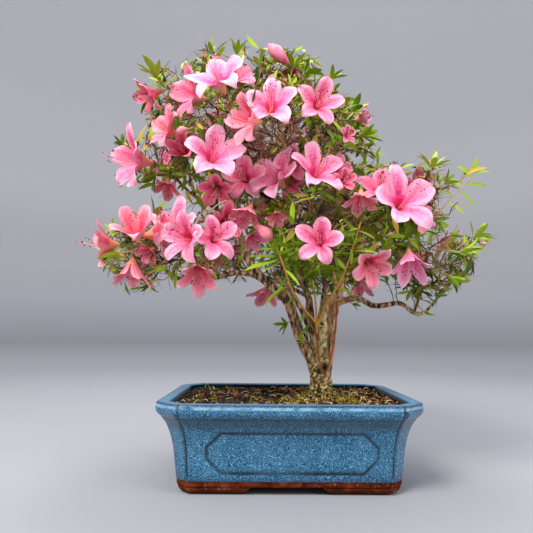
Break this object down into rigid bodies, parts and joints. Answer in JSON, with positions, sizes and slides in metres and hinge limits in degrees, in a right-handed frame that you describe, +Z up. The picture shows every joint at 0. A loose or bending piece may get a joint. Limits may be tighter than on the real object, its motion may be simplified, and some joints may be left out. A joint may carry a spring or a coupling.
{
  "type": "potted azalea bonsai",
  "caption": "Azalea bonsai in bloom: a short forked trunk carries an open crown of leafy and flowering masses above a glazed rectangular footed pot with cut corners.",
  "frame": {"origin": "bottom centre of the whole plant's box, on the plane of the pot's feet", "axes": "+Z up, -Y towards the front of the pot, +X to the right seen from the front"},
  "size_m": [0.4364, 0.3192, 0.4781],
  "materials": {
    "glaze": "gloss",
    "soil": "matte",
    "bark": "matte",
    "leaves": "satin",
    "blossom": "satin"
  },
  "bodies": {
    "root": {"pot": "glaze", "soil": "soil", "trunk": "bark", "stem_left": "bark", "stem_right": "bark", "stem_middle": "bark", "stem_back": "bark", "bough_left": "bark", "bough_right": "bark", "foliage_upper_left": "blossom", "foliage_top": "blossom", "foliage_upper_right": "leaves", "foliage_left": "blossom", "foliage_centre": "blossom", "foliage_lower_left": "blossom", "foliage_lower_middle": "blossom", "foliage_front": "leaves", "foliage_right_upper": "leaves", "foliage_right_lower": "leaves", "foliage_core": "leaves", "foliage_back_left": "leaves", "foliage_back_left_low": "leaves", "foliage_back_right": "leaves", "foliage_back_low": "leaves", "foliage_back_top": "leaves"}
  },
  "joints": []
}
